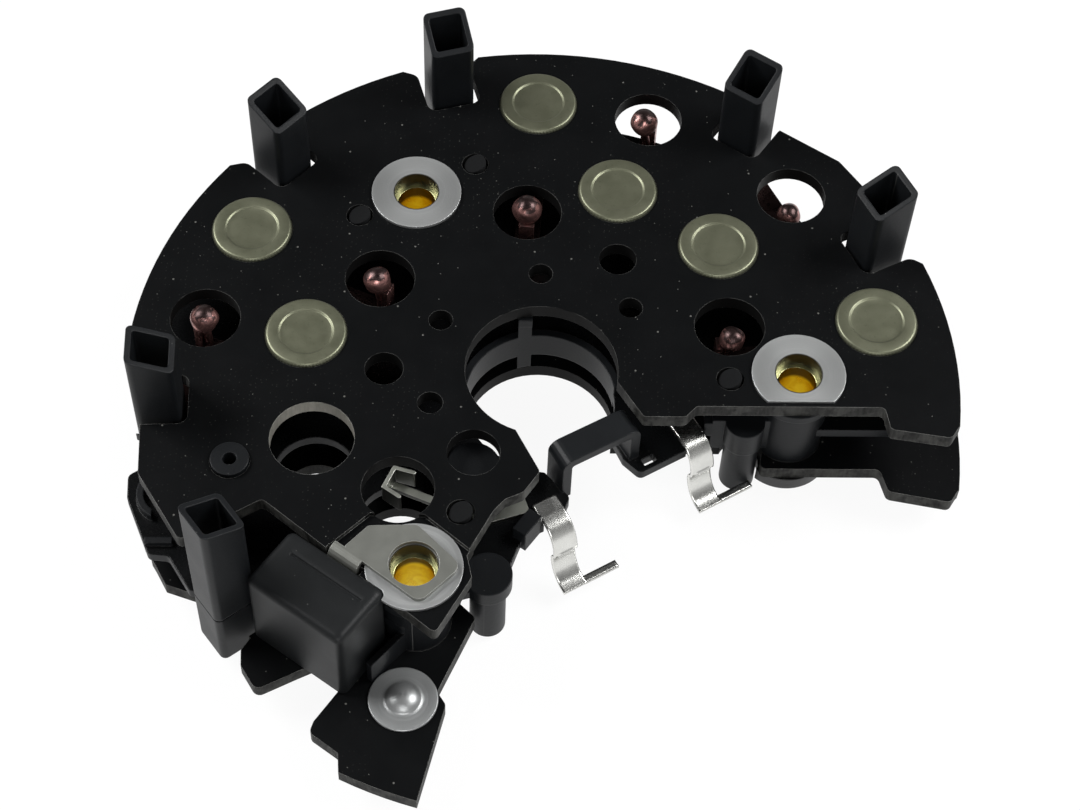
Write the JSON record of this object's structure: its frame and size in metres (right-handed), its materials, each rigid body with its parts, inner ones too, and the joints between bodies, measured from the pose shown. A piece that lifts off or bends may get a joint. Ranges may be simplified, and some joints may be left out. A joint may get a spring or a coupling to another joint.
{
  "type": "alternator rectifier",
  "caption": "Horseshoe rectifier for a vehicle alternator: two stacked heat sinks with press-fit diodes, a moulded carrier with wire towers, three bolt bushes.",
  "frame": {"origin": "on the rotor shaft's axis, in the plane where the three mounting bushes seat on the alternator", "axes": "+Z along the shaft, away from the alternator, towards the upper heat sink; +X towards the first mounting bush, 1.2 degrees past it; +Y towards the closed side of the horseshoe"},
  "size_m": [0.1297, 0.1272, 0.0389],
  "materials": {
    "anodised_aluminium": "black anodised, satin, sheared edges",
    "carrier_plastic": "black glass-filled moulding, satin",
    "nickel_plate": "dull nickel plate with bright rims",
    "copper": "bare copper, lightly tarnished",
    "turned_aluminium": "turned, fine rings",
    "yellow_zinc": "yellow passivated zinc",
    "washer_plastic": "black moulding",
    "tinned_metal": "tinned, warm grey",
    "spring_steel": "bright rolled strip",
    "case_plastic": "black moulding, low gloss",
    "winding_foil": "metallised film, end sprayed",
    "resin": "potting resin"
  },
  "bodies": {
    "root": {"upper_heat_sink": "anodised_aluminium", "lower_heat_sink": "anodised_aluminium", "carrier": "carrier_plastic", "upper_diode_1": "nickel_plate", "upper_diode_2": "nickel_plate", "upper_diode_3": "nickel_plate", "upper_diode_4": "nickel_plate", "upper_diode_5": "nickel_plate", "upper_diode_6": "nickel_plate", "lower_diode_1": "nickel_plate", "lower_diode_2": "nickel_plate", "lower_diode_3": "nickel_plate", "lower_diode_4": "nickel_plate", "lower_diode_5": "nickel_plate", "lower_diode_6": "nickel_plate", "phase_conductor_1": "copper", "phase_conductor_2": "copper", "phase_conductor_3": "copper", "phase_conductor_4": "copper", "phase_conductor_5": "copper", "phase_conductor_6": "copper", "phase_link": "tinned_metal", "bush_1": "turned_aluminium", "bush_2": "turned_aluminium", "bush_3": "turned_aluminium", "sleeve_1": "yellow_zinc", "sleeve_2": "yellow_zinc", "sleeve_3": "yellow_zinc", "insulating_washer_1": "washer_plastic", "insulating_washer_2": "washer_plastic", "insulating_washer_3": "washer_plastic", "terminal_plate": "tinned_metal", "contact_rivet": "turned_aluminium", "spring_contact_1": "spring_steel", "spring_contact_2": "spring_steel", "condenser_case": "case_plastic", "condenser_winding": "winding_foil", "condenser_resin": "resin", "condenser_lead": "tinned_metal", "wire_tower_1": "carrier_plastic", "wire_tower_2": "carrier_plastic", "wire_tower_3": "carrier_plastic", "wire_tower_4": "carrier_plastic", "wire_tower_5": "carrier_plastic", "wire_tower_6": "carrier_plastic"}
  },
  "joints": []
}
